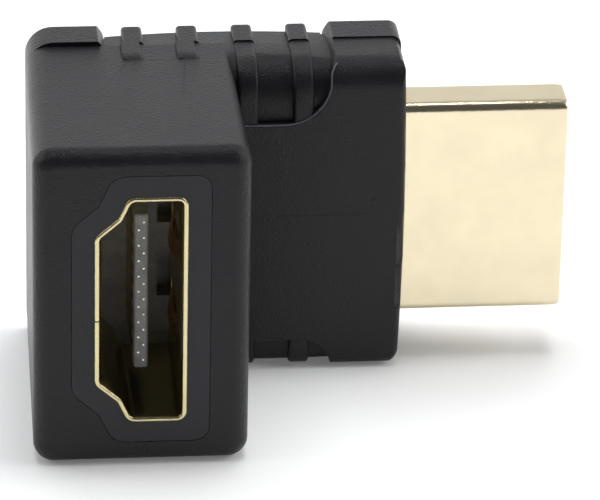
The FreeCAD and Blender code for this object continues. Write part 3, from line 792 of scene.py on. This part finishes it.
def glass_filled_plastic(name, colour):
    """Moulded plastic with short glass fibres: pale specks and a slightly rough skin."""
    skin_depth = 4e-6
    shader = Shader(name, colour, 0.0, 0.5)
    fibres = shader.noise(0.07 * MM, detail=1, where=(2, 9, 4))
    specks = shader.ranged(fibres, 0.62, 0.72, 0, 1)
    cloud = shader.noise(0.9 * MM, detail=3)
    rubbed = shader.edges(0.06 * MM)
    clouded = shader.ranged(cloud, 0.35, 0.7, 0, 1)
    tint = shader.blend(clouded, scaled(colour, 0.85), scaled(colour, 1.15))
    tint = shader.blend(shader.math("MULTIPLY", specks, 0.6), tint, scaled(colour, 2.2))
    tint = shader.blend(shader.math("MULTIPLY", rubbed, 0.35), tint, scaled(colour, 1.7))
    shader.link(tint, shader.surface.inputs["Base Color"])
    shader.link(shader.ranged(cloud, 0.3, 0.7, 0.42, 0.56), shader.surface.inputs["Roughness"])
    skin = shader.bump(shader.noise(0.06 * MM, detail=2), skin_depth)
    shader.link(skin, shader.surface.inputs["Normal"])
    return shader.material


def lacquered_laminate(name, colour):
    """Circuit board laminate: woven glass under a glossy coloured lacquer."""
    weave_depth = 6e-6
    shader = Shader(name, colour, 0.0, 0.25)
    weave = shader.noise(0.35 * MM, detail=2, stretch=(1, 1, 3))
    woven = shader.ranged(weave, 0.35, 0.65, 0, 1)
    tint = shader.blend(woven, scaled(colour, 0.7), scaled(colour, 1.3))
    shader.link(tint, shader.surface.inputs["Base Color"])
    shader.link(shader.ranged(weave, 0.3, 0.7, 0.2, 0.35), shader.surface.inputs["Roughness"])
    shader.link(shader.bump(weave, weave_depth), shader.surface.inputs["Normal"])
    return shader.material


def material_once(name, make, *values):
    """The material of that name, made on its first use."""
    return bpy.data.materials.get(name) or make(name, *values)


class MouldingOperator(bpy.types.Operator):
    """Dress the one-piece moulding of arm and head"""

    bl_idname = "adapter.moulding"
    bl_label = "Moulding"

    def execute(self, context):
        colours = context.scene.adapter_colours
        black = material_once("moulded_black", moulded_plastic, colours.moulding, HOUSING_GRAIN)
        # The flash bead round the grip's rim gets the moulding's colour made seven times paler: a painted
        # highlight along the rim.
        pale = scaled(colours.moulding, 7)
        painted_rim_highlight = material_once("moulded_flash", moulded_plastic, pale, FLASH_HIGHLIGHT_GRAIN)
        refined_node("housing", "over_mould", black, "over_mould")
        floor = grip_floor(
            "top_grip_floor",
            left=-1.15 * MM,
            right=11.9 * MM,
            front=GRIP_FRONT,
            back=17.87 * MM,
            heights=np.array([(-1.0, 9.45), (5.4, 9.66), (11.6, 9.47)]) * MM,
            thickness=0.5 * MM,
        )
        object_from_mesh("top_grip_floor", floor, black, "over_mould")
        # The flash bead round the grip's rim, in the pale material that paints its highlight.
        rim = pocket_rim(bead=0.055 * MM)
        object_from_mesh("grip_rim", rim, painted_rim_highlight, "over_mould")
        mould_line = front_mould_line(bead=0.022 * MM)
        object_from_mesh("front_mould_line", mould_line, black, "over_mould")
        for name, middle in (("first_rib_nose", 0.25 * MM), ("second_rib_nose", 3.54 * MM)):
            nose = rib_nose(
                name,
                middle,
                width=1.18 * MM,
                back=GRIP_FRONT,
                front=13.1 * MM,
                base=9.9 * MM,
                height=0.23 * MM,
            )
            object_from_mesh(name, nose, black, "over_mould")
        return {"FINISHED"}


class InsertOperator(bpy.types.Operator):
    """Dress the mould that holds the socket"""

    bl_idname = "adapter.insert"
    bl_label = "Socket insert"

    def execute(self, context):
        colours = context.scene.adapter_colours
        smooth_black = material_once("insert_black", moulded_plastic, colours.insert, INSERT_GRAIN)
        refined_node("socket_inner_mould", "socket_insert", smooth_black, "socket_mould")
        refined_node("core_mould", "core", smooth_black, "core")
        return {"FINISHED"}


class ShellsOperator(bpy.types.Operator):
    """Fold the two sheet shells and set the leaf springs in the socket's wide wall"""

    bl_idname = "adapter.shells"
    bl_label = "Shells"

    def execute(self, context):
        colours = context.scene.adapter_colours
        sizes = context.scene.adapter_sizes
        socket_gold = material_once("gold_socket", gold_plate, colours.rim, 0.2, Y_AXIS)
        plug_gold = material_once("gold_plug", gold_plate, colours.gold, 0.2, X_AXIS)
        leaf_gold = material_once("gold_leaf", gold_plate, colours.leaf, 0.32, Y_AXIS)
        tube = socket_tube(sizes)
        object_from_mesh("socket_tube", tube, socket_gold, "gold_sheet", "socket_shell")
        object_from_mesh("leaf_springs", leaf_springs(sizes), leaf_gold, "gold_sheet")
        object_from_mesh("plug_tube", plug_tube(sizes), plug_gold, "gold_sheet", "plug_shell")
        return {"FINISHED"}


class InsulatorsOperator(bpy.types.Operator):
    """Dress the two moulded blocks that carry the contacts"""

    bl_idname = "adapter.insulators"
    bl_label = "Insulators"

    def execute(self, context):
        colours = context.scene.adapter_colours
        plastic = material_once("glass_filled", glass_filled_plastic, colours.insulator)
        refined_node("socket_insulator", "socket_block", plastic, "insulator")
        dark = material_once("glass_filled_black", glass_filled_plastic, colours.plug_block)
        refined_node("plug_insulator", "plug_block", dark, "insulator")
        pale = material_once("glass_filled_tongue", glass_filled_plastic, colours.tongue)
        tongue = tongue_cover(context.scene.adapter_sizes)
        object_from_mesh("tongue_cover", tongue, pale, "insulator")
        return {"FINISHED"}


class ContactsOperator(bpy.types.Operator):
    """Bend the socket's contacts along its tongue and dress those of the plug"""

    bl_idname = "adapter.contacts"
    bl_label = "Contacts"

    def execute(self, context):
        colours = context.scene.adapter_colours
        sizes = context.scene.adapter_sizes
        plate = material_once("gold_contact", gold_plate, colours.contact, 0.16, Y_AXIS)
        nodes = sorted(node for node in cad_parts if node.startswith("socket_contact_"))
        lines, half_thick, half_wide, heights, side = socket_contact_lines(sizes, nodes)
        blades = repeated_strips("socket_blades", lines, half_thick, half_wide, heights)
        object_from_mesh("socket_blades", blades, plate, "contact_gold", *nodes)
        worn = material_once("gold_nib", gold_plate, colours.nib, 0.3, Y_AXIS)
        nibs = socket_nibs(sizes, side, heights)
        object_from_mesh("socket_nibs", nibs, worn, "contact_gold")
        for node in sorted(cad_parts):
            if node.startswith("plug_contact_"):
                refined_node(node, node.replace("contact", "blade"), plate, "contact_gold")
        return {"FINISHED"}


class BoardOperator(bpy.types.Operator):
    """Dress the circuit board inside the head"""

    bl_idname = "adapter.board"
    bl_label = "Circuit board"

    def execute(self, context):
        colours = context.scene.adapter_colours
        lacquer = material_once("board_lacquer", lacquered_laminate, colours.laminate)
        refined_node("circuit_board", "board", lacquer, "board")
        return {"FINISHED"}


def swept_floor(half_width, front, back, bend, height, steps):
    """Floor that bends up into a backdrop.

    A straight, a quarter circle and a straight are drawn out along X.
    """
    angle = np.linspace(0, math.pi / 2, steps)
    y = np.concatenate(([front], back + bend * np.sin(angle), [back + bend]))
    z = np.concatenate(([0], bend * (1 - np.cos(angle)), [height]))
    x = np.array([-half_width, half_width])
    points = np.stack(np.broadcast_arrays(x[None, :], y[:, None], z[:, None]), axis=-1)
    quads = grid_faces(len(y), 2)
    mesh = bpy.data.meshes.new("studio_floor")
    mesh.from_pydata(points.reshape(-1, 3).tolist(), [], quads.tolist())
    return mesh


def pale_floor(colour):
    """Matt pale paper, lifted to white where it is seen directly or in a reflection.

    The lift grows from the near to the far end of a stretch behind the adapter, because the lamps
    light the backdrop less there. Rays of diffuse light don't get it, and the floor keeps its shadows.
    """
    near, far, near_lift, far_lift = 0.08, 0.5, 0.12, 0.57
    shader = Shader("studio_paper", colour, 0.0, 0.9)
    fibre = shader.noise(0.4 * MM, detail=4)
    felted = shader.ranged(fibre, 0.3, 0.7, 0, 1)
    tint = shader.blend(felted, scaled(colour, 0.995), scaled(colour, 1.005))
    shader.link(tint, shader.surface.inputs["Base Color"])
    shader.surface.inputs["Specular IOR Level"].default_value = 0.0
    path = shader.tree.nodes.new("ShaderNodeLightPath")
    seen = shader.math("MAXIMUM", path.outputs["Is Camera Ray"], path.outputs["Is Glossy Ray"])
    seen = shader.math("MAXIMUM", seen, path.outputs["Is Transmission Ray"])
    shader.surface.inputs["Emission Color"].default_value = (1, 1, 1, 1)
    lift = shader.ranged(shader.along("Y"), near, far, near_lift, far_lift)
    lifted = shader.math("MULTIPLY", seen, lift)
    shader.link(lifted, shader.surface.inputs["Emission Strength"])
    return shader.material


def soft_lamp(name, place, size, radiance):
    """Square lamp that faces the adapter. Its power follows from the radiance it should show."""
    data = bpy.data.lights.new(name, "AREA")
    data.shape = "SQUARE"
    data.size = size
    data.energy = radiance * math.pi * size * size
    lamp = bpy.data.objects.new(name, data)
    lamp.location = place
    lamp.rotation_mode = "QUATERNION"
    lamp.rotation_quaternion = (LAMP_AIM - Vector(place)).to_track_quat("-Z", "Y")
    lamp.visible_camera = False
    bpy.context.scene.collection.objects.link(lamp)
    return lamp


def studio_world(front, back):
    """Surroundings that turn from the dim side in front of the floor to a lighter side behind it."""
    world = bpy.data.worlds.new("studio")
    world.use_nodes = True
    tree = world.node_tree
    background = tree.nodes["Background"]
    background.inputs["Color"].default_value = (1, 1, 1, 1)
    direction = tree.nodes.new("ShaderNodeTexCoord").outputs["Generated"]
    parts = tree.nodes.new("ShaderNodeSeparateXYZ")
    tree.links.new(direction, parts.inputs["Vector"])
    turn = tree.nodes.new("ShaderNodeMapRange")
    turn.interpolation_type = "SMOOTHSTEP"
    turn.inputs["From Min"].default_value = -0.5
    turn.inputs["From Max"].default_value = 0.5
    turn.inputs["To Min"].default_value = front
    turn.inputs["To Max"].default_value = back
    tree.links.new(parts.outputs["Y"], turn.inputs["Value"])
    tree.links.new(turn.outputs["Result"], background.inputs["Strength"])
    bpy.context.scene.world = world


class StudioOperator(bpy.types.Operator):
    """Set up the floor, the lamps and the camera"""

    bl_idname = "adapter.studio"
    bl_label = "Studio"

    def execute(self, context):
        studio = context.scene.adapter_studio
        sweep = swept_floor(
            half_width=1.0,
            front=-1.0,
            back=0.5,
            bend=0.15,
            height=0.75,
            steps=24,
        )
        sweep.materials.append(pale_floor(studio.floor))
        floor = bpy.data.objects.new("studio_floor", sweep)
        context.scene.collection.objects.link(floor)
        studio_world(front=0.09, back=0.5)
        soft_lamp("right_box", place=(0.3, -0.03, 0.2), size=0.22, radiance=3.3)
        soft_lamp("left_box", place=(-0.3, 0.05, 0.2), size=0.22, radiance=2.0)
        # The wide top lamp isn't seen in reflections. The small one draws the edges' thin highlights.
        top_box = soft_lamp("top_box", place=(0, 0.08, 0.4), size=0.26, radiance=4.7)
        top_box.visible_glossy = False
        soft_lamp("spark_box", place=(0.02, 0.02, 0.4), size=0.05, radiance=20.0)
        set_camera(studio)
        context.scene.view_settings.view_transform = "Standard"
        return {"FINISHED"}


def set_camera(studio):
    """Camera on a sphere round the point it looks at, turned about its line of sight."""
    a, e, roll = studio.azimuth, studio.elevation, studio.roll
    back = Vector((math.sin(a) * math.cos(e), -math.cos(a) * math.cos(e), math.sin(e)))
    right = Vector((math.cos(a), math.sin(a), 0))
    up = back.cross(right)
    turned_right = right * math.cos(roll) + up * math.sin(roll)
    turned_up = up * math.cos(roll) - right * math.sin(roll)
    data = bpy.data.cameras.new("camera")
    data.sensor_width = 36
    data.lens = studio.lens
    data.clip_start = 0.01
    camera = bpy.data.objects.new("camera", data)
    aim = Vector(MOUTH) + Vector(studio.aim)
    turn = Matrix((turned_right, turned_up, back)).transposed()
    camera.matrix_world = Matrix.Translation(aim + back * studio.distance) @ turn.to_4x4()
    bpy.context.scene.collection.objects.link(camera)
    bpy.context.scene.camera = camera


STEPS = (
    MouldingOperator,
    InsertOperator,
    ShellsOperator,
    InsulatorsOperator,
    ContactsOperator,
    BoardOperator,
    StudioOperator,
)


class AdapterPanel(bpy.types.Panel):
    """Lists the adapter's settings and steps"""

    bl_idname = "VIEW3D_PT_adapter"
    bl_label = "Right angle adapter"
    bl_space_type = "VIEW_3D"
    bl_region_type = "UI"
    bl_category = "Adapter"

    def draw(self, context):
        column = self.layout.column()
        scene = context.scene
        for group in (scene.adapter_colours, scene.adapter_sizes, scene.adapter_studio):
            for name in group.__annotations__:
                column.prop(group, name)
        for step in STEPS:
            column.operator(step.bl_idname)


CLASSES = (AdapterColours, SheetSizes, StudioSettings, *STEPS, AdapterPanel)


def register():
    for made in CLASSES:
        bpy.utils.register_class(made)
    bpy.types.Scene.adapter_colours = PointerProperty(type=AdapterColours)
    bpy.types.Scene.adapter_sizes = PointerProperty(type=SheetSizes)
    bpy.types.Scene.adapter_studio = PointerProperty(type=StudioSettings)


def unregister():
    del bpy.types.Scene.adapter_studio
    del bpy.types.Scene.adapter_sizes
    del bpy.types.Scene.adapter_colours
    for made in reversed(CLASSES):
        bpy.utils.unregister_class(made)


def main():
    register()
    bpy.ops.adapter.moulding()
    bpy.ops.adapter.insert()
    bpy.ops.adapter.shells()
    bpy.ops.adapter.insulators()
    bpy.ops.adapter.contacts()
    bpy.ops.adapter.board()
    bpy.ops.adapter.studio()


if __name__ == "__main__":
    main()
